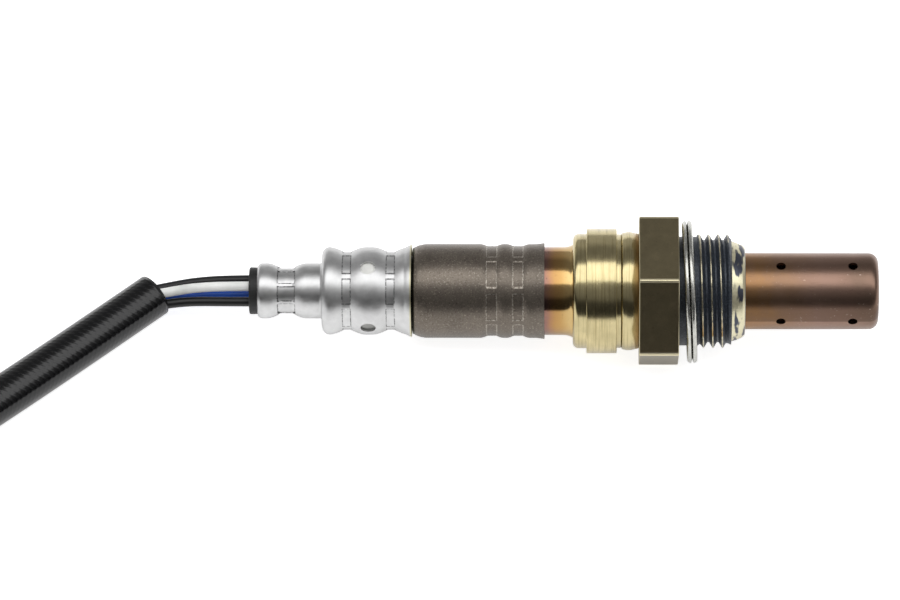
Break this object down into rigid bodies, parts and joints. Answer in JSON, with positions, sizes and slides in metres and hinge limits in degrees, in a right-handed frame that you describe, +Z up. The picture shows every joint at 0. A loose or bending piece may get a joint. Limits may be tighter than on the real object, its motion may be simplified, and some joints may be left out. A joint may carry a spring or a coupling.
{
  "type": "oxygen sensor",
  "caption": "Heated exhaust oxygen sensor: vented steel probe, threaded hexagon body with gasket, crimped covers, and coloured leads in a braided sleeve that ends in a plug.",
  "frame": {"origin": "on the sensor's axis, in the plane of the hexagon's front face that presses the gasket", "axes": "+X along the sensor towards the probe tip and raised by the 4.7 degree tilt at which the loose sensor rests, +Z up from the ground, +Y to the far side as the picture shows it"},
  "size_m": [0.2319, 0.1006, 0.0227],
  "materials": {
    "zinc_plated_steel": "yellow-passivated zinc on turned steel",
    "gasket_steel": "folded stainless sheet",
    "probe_steel": "drawn stainless, heat-tinted bronze",
    "zirconia": "sintered zirconia with a platinum film",
    "alumina": "sintered alumina",
    "washer_steel": "stamped steel",
    "talc": "pressed talc powder",
    "tinted_tube_steel": "stainless with a gold to purple heat tint",
    "dark_cover_steel": "stainless browned by exhaust heat",
    "filter_ptfe": "expanded PTFE membrane",
    "cap_steel": "drawn stainless, bright satin",
    "contact_steel": "nickel alloy strip",
    "grommet_rubber": "black fluorocarbon rubber",
    "black_insulation": "black extruded lead insulation",
    "white_insulation": "white extruded lead insulation",
    "blue_insulation": "blue extruded lead insulation",
    "braid": "varnished black glass-fibre braid",
    "tie_nylon": "black moulded nylon",
    "plug_nylon": "black glass-filled nylon",
    "seal_silicone": "red-brown silicone rubber",
    "lock_pbt": "grey moulded polyester",
    "terminal_brass": "tin-plated brass strip"
  },
  "bodies": {
    "root": {"housing": "zinc_plated_steel", "gasket_ring": "gasket_steel", "outer_protection_cover": "probe_steel", "inner_protection_cover": "probe_steel", "sensing_element": "zirconia", "heater_rod": "alumina", "ceramic_bush": "alumina", "terminal_insulator": "alumina", "element_washer": "washer_steel", "backing_ring": "washer_steel", "talc_packing": "talc", "inner_tube": "tinted_tube_steel", "outer_cover": "dark_cover_steel", "vent_filter": "filter_ptfe", "rear_cap": "cap_steel", "heater_contact_rear": "contact_steel", "ground_contact": "contact_steel", "heater_contact_front": "contact_steel", "signal_contact": "contact_steel", "grommet": "grommet_rubber", "lead_black_rear": "black_insulation", "lead_black_front": "black_insulation", "lead_black_rear_tail": "black_insulation", "lead_black_front_tail": "black_insulation", "lead_white": "white_insulation", "lead_white_tail": "white_insulation", "lead_blue": "blue_insulation", "lead_blue_tail": "blue_insulation", "braided_sleeve": "braid", "braided_sleeve_tail": "braid", "harness_coil": "braid", "coil_tie": "tie_nylon", "plug_body": "plug_nylon", "wire_seal": "seal_silicone", "edge_seal": "seal_silicone", "terminal_lock": "lock_pbt", "socket_terminal_1": "terminal_brass", "socket_terminal_2": "terminal_brass", "socket_terminal_3": "terminal_brass", "socket_terminal_4": "terminal_brass"}
  },
  "joints": []
}
